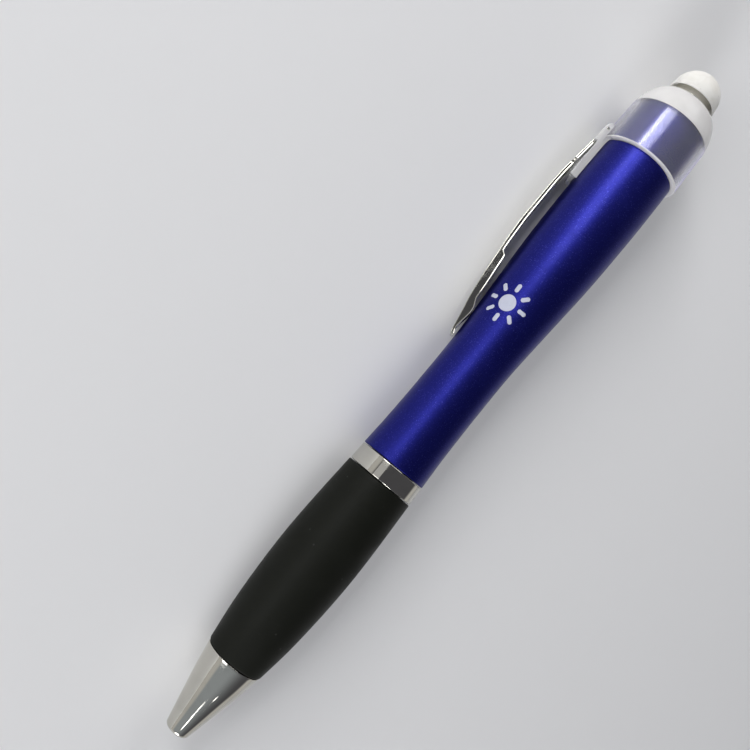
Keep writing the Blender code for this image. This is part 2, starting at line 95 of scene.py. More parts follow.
def gridFaces(rows, columns, closed=False):
    # a quad between each point of a grid and its next neighbours
    # every row is a ring, and closed joins the last row to the first
    row, column = np.meshgrid(np.arange(rows - (not closed)), np.arange(columns), indexing="ij")
    nextRow = (row + 1) % rows
    nextColumn = (column + 1) % columns
    quads = [row * columns + column, row * columns + nextColumn, nextRow * columns + nextColumn,
             nextRow * columns + column]
    return np.stack(quads, axis=-1).reshape(-1, 4)


def softened(mesh, sharp):
    # doubles merged, faces turned outwards, smooth but for edges past the sharp angle
    bm = bmesh.new()
    bm.from_mesh(mesh)
    bmesh.ops.remove_doubles(bm, verts=bm.verts, dist=2e-7)
    bmesh.ops.recalc_face_normals(bm, faces=bm.faces)
    bm.to_mesh(mesh)
    bm.free()
    mesh.shade_smooth()
    mesh.set_sharp_from_angle(angle=math.radians(sharp))


def newPiece(name, points, faces, sharp):
    # mesh object from points and lists of their numbers
    mesh = bpy.data.meshes.new(name)
    mesh.from_pydata(points.reshape(-1, 3).tolist(), [], faces)
    softened(mesh, sharp)
    piece = bpy.data.objects.new(name, mesh)
    scene.collection.objects.link(piece)
    return piece


def gridPiece(name, points, closed=False, capped=False, sharp=sharpEdge):
    # piece from a grid of points; capped puts flat faces on its first and last rings
    rows, columns = points.shape[:2]
    faces = gridFaces(rows, columns, closed).tolist()
    if capped:
        ring = np.arange(columns)
        faces += np.stack([ring, ring[::-1] + (rows - 1) * columns]).tolist()
    return newPiece(name, points, faces, sharp)


def arcPoints(centre, radii, start, end, count):
    # ellipse about centre (s, r), angles in degrees from the direction of the stylus
    angle = np.radians(np.linspace(start, end, count))
    return np.stack([centre[0] + radii[0] * np.cos(angle), centre[1] + radii[1] * np.sin(angle)], axis=-1)


def faired(outline, count, trim=0.0, extra=0.0):
    # cubic between stations that keeps each station's slope, read at even steps between the trimmed ends
    s, r = np.array(outline, float).T
    lower = np.maximum(np.arange(len(s)) - 1, 0)
    upper = np.minimum(np.arange(len(s)) + 1, len(s) - 1)
    slope = (r[upper] - r[lower]) / (s[upper] - s[lower])
    at = np.linspace(s[0] + trim, s[-1] - trim, count)
    i = np.clip(np.searchsorted(s, at) - 1, 0, len(s) - 2)
    span = s[i + 1] - s[i]
    t = (at - s[i]) / span
    rise = 3 * t ** 2 - 2 * t ** 3
    leadIn = (t ** 3 - 2 * t ** 2 + t) * span * slope[i]
    leadOut = (t ** 3 - t ** 2) * span * slope[i + 1]
    return np.stack([at, r[i] + (r[i + 1] - r[i]) * rise + leadIn + leadOut + extra], axis=-1)


def rounded(corners, radii, steps):
    # every corner of closed outlines becomes a circular arc, a rational quadratic from tangent to tangent
    arcShare = 0.98  # most of a side that the arcs at its two ends may take
    before = np.roll(corners, 1, axis=-2) - corners
    after = np.roll(corners, -1, axis=-2) - corners
    beforeLength = np.linalg.norm(before, axis=-1, keepdims=True)
    afterLength = np.linalg.norm(after, axis=-1, keepdims=True)
    before = before / np.maximum(beforeLength, 1e-9)
    after = after / np.maximum(afterLength, 1e-9)
    half = np.arccos(np.clip((before * after).sum(-1, keepdims=True), -1, 1)) / 2
    reach = np.asarray(radii, float)[..., None] / np.maximum(np.tan(half), 1e-6)
    share = np.minimum(1, arcShare * afterLength / np.maximum(reach + np.roll(reach, -1, axis=-2), 1e-9))
    reach = reach * np.minimum(share, np.roll(share, 1, axis=-2))
    u = np.linspace(0, 1, steps + 1)[:, None]
    first = (corners + before * reach)[..., None, :] * (1 - u) ** 2
    last = (corners + after * reach)[..., None, :] * u ** 2
    pull = 2 * u * (1 - u) * np.sin(half)[..., None, :]
    ring = (first + last + corners[..., None, :] * pull) / ((1 - u) ** 2 + u ** 2 + pull)
    return ring.reshape(*corners.shape[:-2], -1, 2)


def profileOf(*parts):
    # outline from corners (s, r, rounding) and runs of plain (s, r) points, with doubled points dropped
    rows = [np.atleast_2d(np.array(part, float)) for part in parts]
    rows = np.vstack([np.pad(row, ((0, 0), (0, 3 - row.shape[1]))) for row in rows])
    ring = rounded(rows[:, :2], rows[:, 2], steps=7)
    step = np.linalg.norm(ring - np.roll(ring, 1, axis=0), axis=-1)
    return ring[step > 1e-5]


def turned(name, profile, segments, closed=True):
    # surface of revolution: each profile point (s, r) goes round the pen's axis at even angles
    angle = np.linspace(0, tau, segments, endpoint=False)
    s, r = profile[:, :1], profile[:, 1:]
    return gridPiece(name, placed(s, r * np.sin(angle), r * np.cos(angle)), closed)


def crossTurned(name, profile, at, segments=48):
    # surface of revolution about a line across the pen at (s, out), from a profile of (across, r)
    angle = np.linspace(0, tau, segments, endpoint=False)
    across, r = profile[:, :1], profile[:, 1:]
    return gridPiece(name, placed(at[0] + r * np.cos(angle), across, at[1] + r * np.sin(angle)))


def crossRod(name, half, r, at, edge=0.0, segments=48):
    # round rod across the pen with rounded ends
    profile = profileOf((-half, 0.0), (-half, r, edge), (half, r, edge), (half, 0.0))
    return crossTurned(name, profile, at, segments)


def crossBlock(name, outline, half, edge=0.0):
    # closed outline of (s, out) carried across the pen
    # near both sides it is drawn in along its normals as a round edge
    steps = 6
    tangent = unit(np.roll(outline, -1, axis=0) - np.roll(outline, 1, axis=0))
    inward = np.stack([tangent[:, 1], -tangent[:, 0]], axis=-1)
    swing = np.radians(np.concatenate([np.linspace(-90, 0, steps), np.linspace(0, 90, steps)]))
    side = np.repeat([-1.0, 1.0], steps)
    across = side * (half - edge) + edge * np.sin(swing)
    drawnIn = edge * (1 - np.cos(swing))
    ring = outline[None] + inward[None] * drawnIn[:, None, None]
    return gridPiece(name, placed(ring[..., 0], across[:, None], ring[..., 1]), capped=True)


def combined(target, tools):
    # Booleans by the tools, worked out once, with the tools taken away
    for tool, operation in tools:
        step = target.modifiers.new(tool.name, "BOOLEAN")
        step.operation = operation
        step.object = tool
        step.solver = "EXACT"
    bpy.context.view_layer.update()
    graph = bpy.context.evaluated_depsgraph_get()
    finished = bpy.data.meshes.new_from_object(target.evaluated_get(graph))
    target.modifiers.clear()
    target.data = finished
    for tool, _ in tools:
        bpy.data.objects.remove(tool, do_unlink=True)
    softened(finished, sharpEdge)
    return target


def dressed(piece, finish, body, *nodes):
    # finish, body that carries the piece, and the CAD nodes that it stands for
    # the slot of these nodes has the finish's name
    piece.data.materials.clear()
    piece.data.materials.append(finishes[finish])
    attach(piece, body)
    if nodes:
        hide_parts(*nodes)
    return piece


def faceMiddles(piece):
    # middles of a piece's faces, in millimetres along the pen, across it and out towards the clip
    middles = np.empty(len(piece.data.polygons) * 3)
    piece.data.polygons.foreach_get("center", middles)
    return ((middles.reshape(-1, 3) - noseEnd) @ penAxes.T / mm).T


# shared effects

def newGroup(name, scale, result):
    # shader group that reads a place and a scale and puts out one value
    group = bpy.data.node_groups.new(name, "ShaderNodeTree")
    group.interface.new_socket("Place", in_out="INPUT", socket_type="NodeSocketVector")
    scaleSocket = group.interface.new_socket("Scale", in_out="INPUT", socket_type="NodeSocketFloat")
    scaleSocket.default_value = scale
    group.interface.new_socket(result, in_out="OUTPUT", socket_type="NodeSocketFloat")
    groupIn = group.nodes.new("NodeGroupInput")
    groupOut = group.nodes.new("NodeGroupOutput")
    return group, groupIn.outputs["Place"], groupIn.outputs["Scale"], groupOut.inputs[result]


def added(tree, kind, settings=None, **values):
    # node with its settings, and values or links on its inputs by name (spaces written as underscores)
    # or by number (i0, i1 and so on)
    node = tree.nodes.new(kind)
    for key, value in (settings or {}).items():
        setattr(node, key, value)
    for key, value in values.items():
        numbered = key[0] == "i" and key[1:].isdigit()
        socket = node.inputs[int(key[1:]) if numbered else key.replace("_", " ")]
        if isinstance(value, bpy.types.NodeSocket):
            tree.links.new(value, socket)
        else:
            socket.default_value = value
    return node


def worked(tree, operation, *values):
    # one step of arithmetic on values or links
    inputs = {f"i{k}": value for k, value in enumerate(values)}
    return added(tree, "ShaderNodeMath", {"operation": operation}, **inputs).outputs[0]


def remapped(tree, value, fromRange=(0.0, 1.0), toRange=(0.0, 1.0)):
    # smooth step of a value from one range into another
    node = added(tree, "ShaderNodeMapRange", {"interpolation_type": "SMOOTHSTEP"}, i0=value,
                 i1=fromRange[0], i2=fromRange[1], i3=toRange[0], i4=toRange[1])
    return node.outputs[0]


# fine grain: two noises, one four times as fine as the other
fineGrain, place, scale, result = newGroup("fineGrain", 4000.0, "Grain")
coarse = added(fineGrain, "ShaderNodeTexNoise", None, Vector=place, Scale=scale, Detail=3.0)
finer = worked(fineGrain, "MULTIPLY", scale, 4.0)
fine = added(fineGrain, "ShaderNodeTexNoise", None, Vector=place, Scale=finer, Detail=1.0)
both = worked(fineGrain, "ADD", coarse.outputs[0], fine.outputs[0])
fineGrain.links.new(worked(fineGrain, "MULTIPLY", both, 0.5), result)

# marks of handling: broad soft patches where fingers have been
handSmudge, place, scale, result = newGroup("handSmudge", 180.0, "Smudge")
patches = added(handSmudge, "ShaderNodeTexNoise", None, Vector=place, Scale=scale, Detail=4.0,
                Distortion=0.8)
handSmudge.links.new(remapped(handSmudge, patches.outputs[0], (0.42, 0.72)), result)

# hairlines: the thin level lines of a noise that is drawn out along the pen
hairlines, place, scale, result = newGroup("hairlines", 700.0, "Line")
stretch = added(hairlines, "ShaderNodeMapping", None, Vector=place, Scale=(0.12, 1.0, 1.0))
wavy = added(hairlines, "ShaderNodeTexNoise", None, Vector=stretch.outputs[0], Scale=scale, Detail=2.0,
             Distortion=0.4)
level = worked(hairlines, "ABSOLUTE", worked(hairlines, "SUBTRACT", wavy.outputs[0], 0.5))
hairlines.links.new(remapped(hairlines, level, (0.0, 0.012), (1.0, 0.0)), result)

# specks of dust: the middles of a few cells
dustSpecks, place, scale, result = newGroup("dustSpecks", 900.0, "Speck")
cells = added(dustSpecks, "ShaderNodeTexVoronoi", None, Vector=place, Scale=scale)
spot = remapped(dustSpecks, cells.outputs["Distance"], (0.05, 0.14), (1.0, 0.0))
pick = added(dustSpecks, "ShaderNodeSeparateColor", None, Color=cells.outputs["Color"])
chosen = remapped(dustSpecks, pick.outputs[0], (0.80, 0.86))
dustSpecks.links.new(worked(dustSpecks, "MULTIPLY", spot, chosen), result)
print("shared effects ready")


def newFinish(name, **values):
    # Principled material with plain values on the shader's own sockets, and the object's coordinates
    material = bpy.data.materials.new(name)
    material.use_nodes = True
    tree = material.node_tree
    shader = tree.nodes["Principled BSDF"]
    for key, value in values.items():
        shader.inputs[key.replace("_", " ")].default_value = value
    place = tree.nodes.new("ShaderNodeTexCoord").outputs["Object"]
    return material, tree, shader, place


def effect(tree, group, place, scale):
    # one of the shared groups, placed with its own scale
    node = added(tree, "ShaderNodeGroup", {"node_tree": group}, Place=place, Scale=scale)
    return node.outputs[0]


def tinted(tree, low, high, mask):
    # colour that runs with a mask from low, plain or linked, to high
    under = low if isinstance(low, bpy.types.NodeSocket) else (*low, 1)
    return added(tree, "ShaderNodeMix", {"data_type": "RGBA"}, i0=mask, i6=under, i7=(*high, 1)).outputs[2]


def covered(tree, shader, colour, rough):
    # colour and roughness that change over the surface
    tree.links.new(colour, shader.inputs["Base Color"])
    tree.links.new(rough, shader.inputs["Roughness"])


def bumped(tree, shader, height, depth, strength):
    # relief of that depth in millimetres
    node = added(tree, "ShaderNodeBump", None, Height=height, Strength=strength, Distance=depth * mm)
    tree.links.new(node.outputs[0], shader.inputs["Normal"])


plating = {
    "hairline": 0.04,  # what a hairline adds to the roughness
    "handled": 0.93,  # tone under finger marks, as a share of the clean one
}


def chromeFinish(name, colour, rough):
    # bright plating: finger marks and hairlines in the gloss
    material, tree, shader, place = newFinish(name, Metallic=1.0)
    smudge = effect(tree, handSmudge, place, scale=260.0)
    line = worked(tree, "MULTIPLY", effect(tree, hairlines, place, scale=900.0), plating["hairline"])
    gloss = worked(tree, "ADD", remapped(tree, smudge, toRange=rough), line)
    handled = [c * plating["handled"] for c in colour]
    covered(tree, shader, tinted(tree, colour, handled, smudge), gloss)
    bumped(tree, shader, effect(tree, fineGrain, place, scale=900.0), depth=0.0003, strength=0.5)
    return material


rubber = {
    "dark": (0.0044, 0.0050, 0.0034),
    "light": (0.0072, 0.0079, 0.0058),
    "dust": (0.025, 0.026, 0.024),
    "rough": (0.52, 0.62),  # from clean to handled
}


def rubberFinish():
    # smooth moulded rubber: fine grain, dust in it, a little sheen
    material, tree, shader, place = newFinish("gripRubber", Specular_IOR_Level=0.12, Sheen_Weight=0.02,
                                              Sheen_Roughness=0.4)
    grain = effect(tree, fineGrain, place, scale=5200.0)
    smudge = effect(tree, handSmudge, place, scale=150.0)
    dust = effect(tree, dustSpecks, place, scale=700.0)
    body = tinted(tree, rubber["dark"], rubber["light"], grain)
    covered(tree, shader, tinted(tree, body, rubber["dust"], dust),
            remapped(tree, smudge, toRange=rubber["rough"]))
    bumped(tree, shader, grain, depth=0.012, strength=0.55)
    return material


lacquer = {
    "flake": (0.12, 0.13, 0.62),  # the few flakes that catch the light
    "flakeScale": 12000.0,
    "rough": (0.41, 0.45),
}


def lacquerFinish(name, low, high):
    # metallic lacquer: small flakes that differ in tone, a smooth clear coat with finger marks
    material, tree, shader, place = newFinish(name, Metallic=0.92, Coat_Weight=0.06, Coat_Roughness=0.2,
                                              Coat_IOR=1.45)
    flakes = added(tree, "ShaderNodeTexVoronoi", None, Vector=place, Scale=lacquer["flakeScale"])
    tone = added(tree, "ShaderNodeSeparateColor", None, Color=flakes.outputs["Color"])
    body = tinted(tree, low, high, tone.outputs[0])
    bright = remapped(tree, tone.outputs[1], (0.96, 0.985), (0.0, 0.35))
    smudge = effect(tree, handSmudge, place, scale=140.0)
    covered(tree, shader, tinted(tree, body, lacquer["flake"], bright),
            remapped(tree, smudge, toRange=lacquer["rough"]))
    bumped(tree, shader, effect(tree, fineGrain, place, scale=2600.0), depth=0.006, strength=0.5)
    return material


def clearFinish(name, colour, transmission, rough, relief=0.004, sheen=0.0, sheenTint=(1.0, 1.0, 1.0)):
    # moulded clear or milky plastic with flow marks and a faint skin grain
    material, tree, shader, place = newFinish(name, Transmission_Weight=transmission, IOR=1.47,
                                              Sheen_Weight=sheen, Sheen_Roughness=0.3,
                                              Sheen_Tint=(*sheenTint, 1.0))
    smudge = effect(tree, handSmudge, place, scale=300.0)
    handled = [c * 0.96 for c in colour]  # a little duller where touched
    covered(tree, shader, tinted(tree, colour, handled, smudge), remapped(tree, smudge, toRange=rough))
    bumped(tree, shader, effect(tree, fineGrain, place, scale=1100.0), depth=relief, strength=0.4)
    return material


silicone = {
    "clean": (0.83, 0.81, 0.765),
    "handled": (0.77, 0.745, 0.69),
    "dust": (0.5, 0.48, 0.45),
    "rough": (0.38, 0.5),
}


def siliconeFinish():
    # soft white rubber that lets light into it
    material, tree, shader, place = newFinish("whiteSilicone", Subsurface_Weight=0.8,
                                              Subsurface_Scale=0.0022, Subsurface_Radius=(0.9, 0.9, 0.88),
                                              Specular_IOR_Level=0.4)
    smudge = effect(tree, handSmudge, place, scale=420.0)
    dust = effect(tree, dustSpecks, place, scale=1100.0)
    body = tinted(tree, silicone["clean"], silicone["handled"], smudge)
    covered(tree, shader, tinted(tree, body, silicone["dust"], dust),
            remapped(tree, smudge, toRange=silicone["rough"]))
    bumped(tree, shader, effect(tree, fineGrain, place, scale=3800.0), depth=0.006, strength=0.5)
    return material


def mouldedFinish(name, low, high, rough):
    # plain moulded plastic with a fine skin
    material, tree, shader, place = newFinish(name)
    grain = effect(tree, fineGrain, place, scale=3200.0)
    smudge = effect(tree, handSmudge, place, scale=240.0)
    covered(tree, shader, tinted(tree, low, high, grain), remapped(tree, smudge, toRange=rough))
    bumped(tree, shader, grain, depth=0.006, strength=0.5)
    return material


def metalFinish(name, low, high, rough):
    # drawn or turned metal: fine rings along the pen and a dull bloom
    material, tree, shader, place = newFinish(name, Metallic=1.0)
    rings = added(tree, "ShaderNodeMapping", None, Vector=place, Scale=(1.0, 0.04, 0.04))
    turnedLines = effect(tree, fineGrain, rings.outputs[0], scale=5200.0)
    smudge = effect(tree, handSmudge, place, scale=500.0)
    covered(tree, shader, tinted(tree, low, high, smudge), remapped(tree, turnedLines, (0.3, 0.7), rough))
    bumped(tree, shader, turnedLines, depth=0.004, strength=0.5)
    return material


ink = {
    "thin": (0.40, 0.42, 0.52),
    "full": (0.50, 0.52, 0.62),
    "pinhole": (0.22, 0.23, 0.5),
    "rough": (0.45, 0.6),
}


def printedFinish():
    # screen ink: chalky, with the mesh's faint grain and pinholes
    material, tree, shader, place = newFinish("printedInk", Specular_IOR_Level=0.35)
    grain = effect(tree, fineGrain, place, scale=3600.0)
    pinholes = effect(tree, dustSpecks, place, scale=3000.0)
    body = tinted(tree, ink["thin"], ink["full"], grain)
    covered(tree, shader, tinted(tree, body, ink["pinhole"], pinholes),
            remapped(tree, grain, (0.2, 0.8), ink["rough"]))
    bumped(tree, shader, grain, depth=0.008, strength=0.6)
    return material


finishes = {
    "chrome": chromeFinish("brightChrome", (0.58, 0.565, 0.515), rough=(0.035, 0.11)),
    "grip_rubber": rubberFinish(),
    "blue_lacquer": lacquerFinish("blueLacquer", (0.0085, 0.0105, 0.140), (0.0140, 0.0165, 0.205)),
    "frosted_plastic": clearFinish("milkyPlastic", (0.94, 0.925, 0.918), 0.35, rough=(0.12, 0.22)),
    "white_silicone": siliconeFinish(),
    "black_plastic": mouldedFinish("blackPlastic", (0.018, 0.018, 0.019), (0.032, 0.032, 0.033),
                                   (0.42, 0.52)),
    "white_plastic": mouldedFinish("whitePlastic", (0.76, 0.76, 0.73), (0.84, 0.84, 0.82), (0.38, 0.48)),
    "brass": metalFinish("turnedBrass", (0.74, 0.56, 0.25), (0.62, 0.45, 0.18), (0.16, 0.32)),
    "carbide": metalFinish("groundCarbide", (0.36, 0.36, 0.38), (0.3, 0.3, 0.32), (0.1, 0.2)),
    "steel": metalFinish("drawnSteel", (0.64, 0.64, 0.62), (0.5, 0.5, 0.49), (0.18, 0.34)),
    "clear_acrylic": clearFinish("clearAcrylic", (0.95, 0.97, 0.98), 0.95, rough=(0.03, 0.08)),
    "ink_tube": clearFinish("inkTube", (0.30, 0.36, 0.62), 0.45, rough=(0.1, 0.2)),
    # the next four have no slot of their own in the record
    "printed_ink": printedFinish(),
    "milky_saddle": clearFinish("milkySaddle", (0.92, 0.915, 0.925), 0.62, rough=(0.14, 0.24)),
    # the wall's lavender sheen tint is painted light: it stands in for the blue of the lacquer showing
    # through the wall
    "clear_wall": clearFinish("milkyClearWall", (0.93, 0.935, 0.96), 0.94, rough=(0.15, 0.19),
                              relief=0.0002, sheen=0.7, sheenTint=(0.60, 0.56, 1.0)),
    # brighter copy of the blue lacquer: painted highlight for the spigot seen through the cap's wall
    "spigot_lacquer_painted_highlight": lacquerFinish("spigotLacquerPaintedHighlight", (0.0150, 0.0180, 0.225), (0.0240, 0.0285, 0.330)),
}
print("finishes ready:", len(finishes))

# grip end of the pen

nose = {
    "outline": [(0.9, 2.28), (5.0, 3.2), (10.0, 4.3), (14.35, 5.06)],
    "blunt": ((0.75, 1.6), (0.75, 0.62)),  # centre and radii of the rounded end
    "mouth": 1.3,  # hole for the writing tip
    "edge": 0.12,
    "spigot": (20.0, 3.45),  # end and radius of the part inside the grip
    "bore": (4.2, 2.55),  # the spring's seat and the bore's radius
}
noseBack = nose["outline"][-1]
spigotEnd, spigotR = nose["spigot"]
springSeat, boreR = nose["bore"]
noseProfile = profileOf((0.0, nose["mouth"], 0.08), arcPoints(*nose["blunt"], 180, 105, 14),
                        faired(nose["outline"], 70, trim=0.4), (*noseBack, nose["edge"]),
                        (noseBack[0], spigotR, 0.1), (spigotEnd, spigotR, 0.2), (spigotEnd, boreR),
                        (springSeat, boreR, 0.2), (springSeat, nose["mouth"], 0.1))
noseCone = turned("nose_cone_piece", noseProfile, 160)
dressed(noseCone, "chrome", "grip", "nose_cone")

grip = {
    "outline": [(14.5, 5.16), (21.0, 6.0), (28.0, 6.52), (35.0, 6.74), (42.0, 6.6), (50.75, 6.2)],
    "front": 0.3,
    "back": 0.2,
    "narrowR": 4.45,  # bore up to the step
    "wideR": 5.0,  # bore behind it
    "step": 21.9,
}
gripFront, gripBack = grip["outline"][0], grip["outline"][-1]
gripProfile = profileOf((gripFront[0], grip["narrowR"]), (*gripFront, grip["front"]),
                        faired(grip["outline"], 90, trim=0.8), (*gripBack, grip["back"]),
                        (gripBack[0], grip["wideR"]), (grip["step"], grip["wideR"]),
                        (grip["step"], grip["narrowR"]))
gripSleeve = turned("grip_sleeve_piece", gripProfile, 160)
dressed(gripSleeve, "grip_rubber", "grip", "grip_sleeve")

ring = {"start": 50.9, "end": 54.1, "lowR": 6.14, "topR": 6.04, "boreR": 4.5, "edge": 0.16}
ringProfile = profileOf((ring["start"], ring["boreR"]), (ring["start"], ring["lowR"], ring["edge"]),
                        (ring["end"], ring["topR"], ring["edge"]), (ring["end"], ring["boreR"]))
centreRing = turned("centre_ring_piece", ringProfile, 160)
dressed(centreRing, "chrome", "grip", "centre_ring")
print("nose, grip and ring made")

# barrel and its printed mark

barrel = {
    "outline": [(54.25, 6.02), (61.0, 5.73), (70.0, 5.6), (78.0, 5.66), (87.5, 6.17), (97.0, 6.71),
                (106.0, 6.91), (112.0, 6.93), (118.6, 6.82)],
    "spigotR": 6.35,
    "spigotEnd": 127.8,
    "edge": 0.12,
    "boreR": 4.5,
    "pocketR": 5.2,  # wider bore for the cells
    "pocketFrom": 96.0,
}
barrelFront, barrelBack = barrel["outline"][0], barrel["outline"][-1]
barrelProfile = profileOf((*barrelFront, barrel["edge"]), faired(barrel["outline"], 150, trim=0.5),
                          (*barrelBack, barrel["edge"]), (barrelBack[0], barrel["spigotR"], 0.05),
                          (barrel["spigotEnd"], barrel["spigotR"], 0.3),
                          (barrel["spigotEnd"], barrel["pocketR"]),
                          (barrel["pocketFrom"], barrel["pocketR"]),
                          (barrel["pocketFrom"], barrel["boreR"]), (barrelFront[0], barrel["boreR"]))
upperBarrel = turned("upper_barrel_piece", barrelProfile, 160)
dressed(upperBarrel, "blue_lacquer", "barrel", "upper_barrel")
upperBarrel.data.materials.append(finishes["spigot_lacquer_painted_highlight"])  # brighter copy of the lacquer on the spigot under the cap: painted highlight where it shows through the cap's wall
onSpigot = faceMiddles(upperBarrel)[0] > barrelBack[0] + 0.02
upperBarrel.data.polygons.foreach_set("material_index", onSpigot.astype(np.int32))

mark = {
    "at": 85.7,  # along the pen
    "round": -68.0,  # degrees round the pen from the clip
    "disc": 1.45,
    "rayFrom": 2.15,
    "rayTo": 3.65,
    "rayHalf": 0.36,
    "rays": 8,
    "proud": 0.03,
    "sunk": 0.6,  # depth of the back of the ink in the barrel, as a share of proud
    "points": 64,  # round each outline
    "rings": 9,  # from the middle to the outline
}


def printedPatches(centres, lengths, halves, headings):
    # flat lenses with stadium outlines: half a circle round each end of a line, drawn in to its middle
    # each is wrapped round the barrel at the barrel's own radius
    phi = np.linspace(0, tau, mark["points"], endpoint=False)
    inside = np.linspace(0, 1, mark["rings"])
    reach = np.concatenate([inside, inside[::-1]])
    lift = np.concatenate([1.0 - inside ** 6, np.full(mark["rings"], -mark["sunk"])])
    endShift = np.sign(np.cos(phi))[None, :] * lengths[:, None] / 2
    outlineU = endShift + halves[:, None] * np.cos(phi)
    outlineV = halves[:, None] * np.sin(phi)
    u = reach[None, :, None] * outlineU[:, None, :]
    v = reach[None, :, None] * outlineV[:, None, :]
    turn = headings[:, None, None]
    s = mark["at"] + centres[:, 0, None, None] + u * np.cos(turn) - v * np.sin(turn)
    girth = centres[:, 1, None, None] + u * np.sin(turn) + v * np.cos(turn)
    stations = faired(barrel["outline"], 400)
    radius = np.interp(s, stations[:, 0], stations[:, 1])
    angle = math.radians(mark["round"]) + girth / np.interp(mark["at"], stations[:, 0], stations[:, 1])
    radius = radius + mark["proud"] * lift[None, :, None]
    points = placed(s, radius * np.sin(angle), radius * np.cos(angle))
    one = gridFaces(len(reach), len(phi))
    faces = one[None] + (np.arange(len(lengths)) * len(reach) * len(phi))[:, None, None]
    return points, faces.reshape(-1, 4).tolist()


rayAngles = np.arange(mark["rays"]) * tau / mark["rays"]
rayMiddle = (mark["rayFrom"] + mark["rayTo"]) / 2
rayCentres = rayMiddle * np.stack([np.cos(rayAngles), np.sin(rayAngles)], axis=-1)
rayLength = mark["rayTo"] - mark["rayFrom"] - 2 * mark["rayHalf"]
inkPatches = printedPatches(np.vstack([[0.0, 0.0], rayCentres]),
                            np.append(0.0, np.full(mark["rays"], rayLength)),
                            np.append(mark["disc"], np.full(mark["rays"], mark["rayHalf"])),
                            np.append(0.0, rayAngles))
barrelMark = newPiece("barrel_mark", *inkPatches, sharp=60)
dressed(barrelMark, "printed_ink", "barrel")
print("barrel made")

# cap with its saddle

cap = {
    "rim": 118.75,
    "rimR": 7.62,
    "rimEdge": 0.2,
    "shoulder": 126.3,
    "shoulderR": 7.36,
    "ceiling": 128.6,
    "top": 132.35,
    "topR": 4.35,
    "mouthR": 6.97,
    "hollowR": 6.55,
    "buttonR": 3.75,
    "run": 0.15,  # room between the tongue and the barrel
    "past": 1.0,  # how far the hollow is cut past the top
    "wallFrom": 118.92,  # between these the wall is thin and nearly clear, elsewhere it is milky
    "wallTo": 127.3,
}
wallSlope = (cap["shoulderR"] - cap["rimR"]) / (cap["shoulder"] - cap["rim"])
bandR = cap["rimR"] + wallSlope * (cap["wallFrom"] - cap["rim"])
crown = arcPoints((cap["shoulder"], cap["topR"]),
                  (cap["top"] - cap["shoulder"], cap["shoulderR"] - cap["topR"]), 90, 0, 28)
shellProfile = profileOf((cap["rim"], 0.0), (cap["rim"], cap["rimR"], cap["rimEdge"]),
                         (cap["wallFrom"], bandR), crown, (cap["top"], 0.0))
capShell = turned("cap_piece", shellProfile, 128, closed=False)
cutEnd = cap["top"] + cap["past"]
hollowProfile = profileOf((barrelFront[0], 0.0), faired(barrel["outline"], 60, extra=cap["run"]),
                          (cap["rim"], cap["mouthR"]), (cap["rim"], cap["hollowR"]),
                          (cap["ceiling"], cap["hollowR"], 0.3), (cap["ceiling"], cap["buttonR"], 0.1),
                          (cutEnd, cap["buttonR"]), (cutEnd, 0.0))
capHollow = turned("cap_hollow", hollowProfile, 128, closed=False)

pin = {
    "at": (120.0, 7.68),
    "r": 0.28,
    "half": 2.5,
    "edge": 0.07,
    "dish": [(0.45, 0.0, 0.0), (0.45, 0.17, 0.05), (0.0, 0.19, 0.02)],  # depth, radius, rounding
    "run": 0.03,  # room in the saddle's hole
}
saddle = {
    # along the pen, out from its axis, rounding: the tongue and then the cheeks
    "outline": [(110.0, 5.5, 0.0), (110.0, 7.96, 0.4), (117.5, 7.82, 0.2), (117.1, 8.52, 0.16),
                (120.4, 8.24, 0.5), (121.05, 7.95, 0.3), (121.3, 7.5, 0.0), (121.3, 5.5, 0.0)],
    "half": 2.6,
    "edge": 0.13,
    "channel": [(115.0, 10.0), (115.0, 7.65), (119.15, 7.65), (119.15, 6.95), (120.95, 6.95),
                (120.95, 10.0)],
    "channelHalf": 2.0,
    "holeHalf": 3.1,
}
saddleBlock = crossBlock("saddle", profileOf(saddle["outline"]), saddle["half"], saddle["edge"])
channel = crossBlock("channel", np.array(saddle["channel"]), saddle["channelHalf"])
pinHole = crossRod("pin_hole", saddle["holeHalf"], pin["r"] + pin["run"], pin["at"], segments=32)

web = {
    "r": 1.3,  # of the hollow cheek
    "lowR": 5.6,
    "under": 0.1,  # its top lies this far under the rim's edge
    "back": (0.5, 0.4),  # its corner inside the cap, behind the rim and inside the tongue's side
    "steps": 15,
}


def rimWeb(side):
    # hollow-cheeked web in the corner of rim and tongue: a quarter circle in (s, across), fanned back
    # to a corner inside the cap, between a low and a high radius about the pen's axis
    swing = np.radians(np.linspace(0, 90, web["steps"]))
    s = cap["rim"] - web["r"] * (1 - np.cos(swing))
    across = saddle["half"] + web["r"] * (1 - np.sin(swing))
    backS = np.full(web["steps"], cap["rim"] + web["back"][0])
    backAcross = np.full(web["steps"], saddle["half"] - web["back"][1])
    ringS = np.stack([backS, backS, s, s], axis=-1)
    ringAcross = np.stack([backAcross, backAcross, across, across], axis=-1)
    highR = cap["rimR"] - web["under"]
    radius = np.array([web["lowR"], highR, highR, web["lowR"]])
    points = placed(ringS, side * ringAcross, np.sqrt(radius ** 2 - ringAcross ** 2))
    return gridPiece("rim_web", points, capped=True)


capPiece = combined(capShell, [(saddleBlock, "UNION"), (rimWeb(1), "UNION"), (rimWeb(-1), "UNION"),
                               (channel, "DIFFERENCE"), (pinHole, "DIFFERENCE"), (capHollow, "DIFFERENCE")])
dressed(capPiece, "frosted_plastic", "barrel", "cap")
capPiece.data.materials.append(finishes["clear_wall"])
capPiece.data.materials.append(finishes["milky_saddle"])
s, across, out = faceMiddles(capPiece)
onShell = np.hypot(across, out) < cap["rimR"] + 0.02
thin = onShell & (s > cap["wallFrom"]) & (s < cap["wallTo"])
standing = ~onShell | (s < cap["rim"] - 0.05)
capPiece.data.polygons.foreach_set("material_index", (thin + 2 * standing).astype(np.int32))

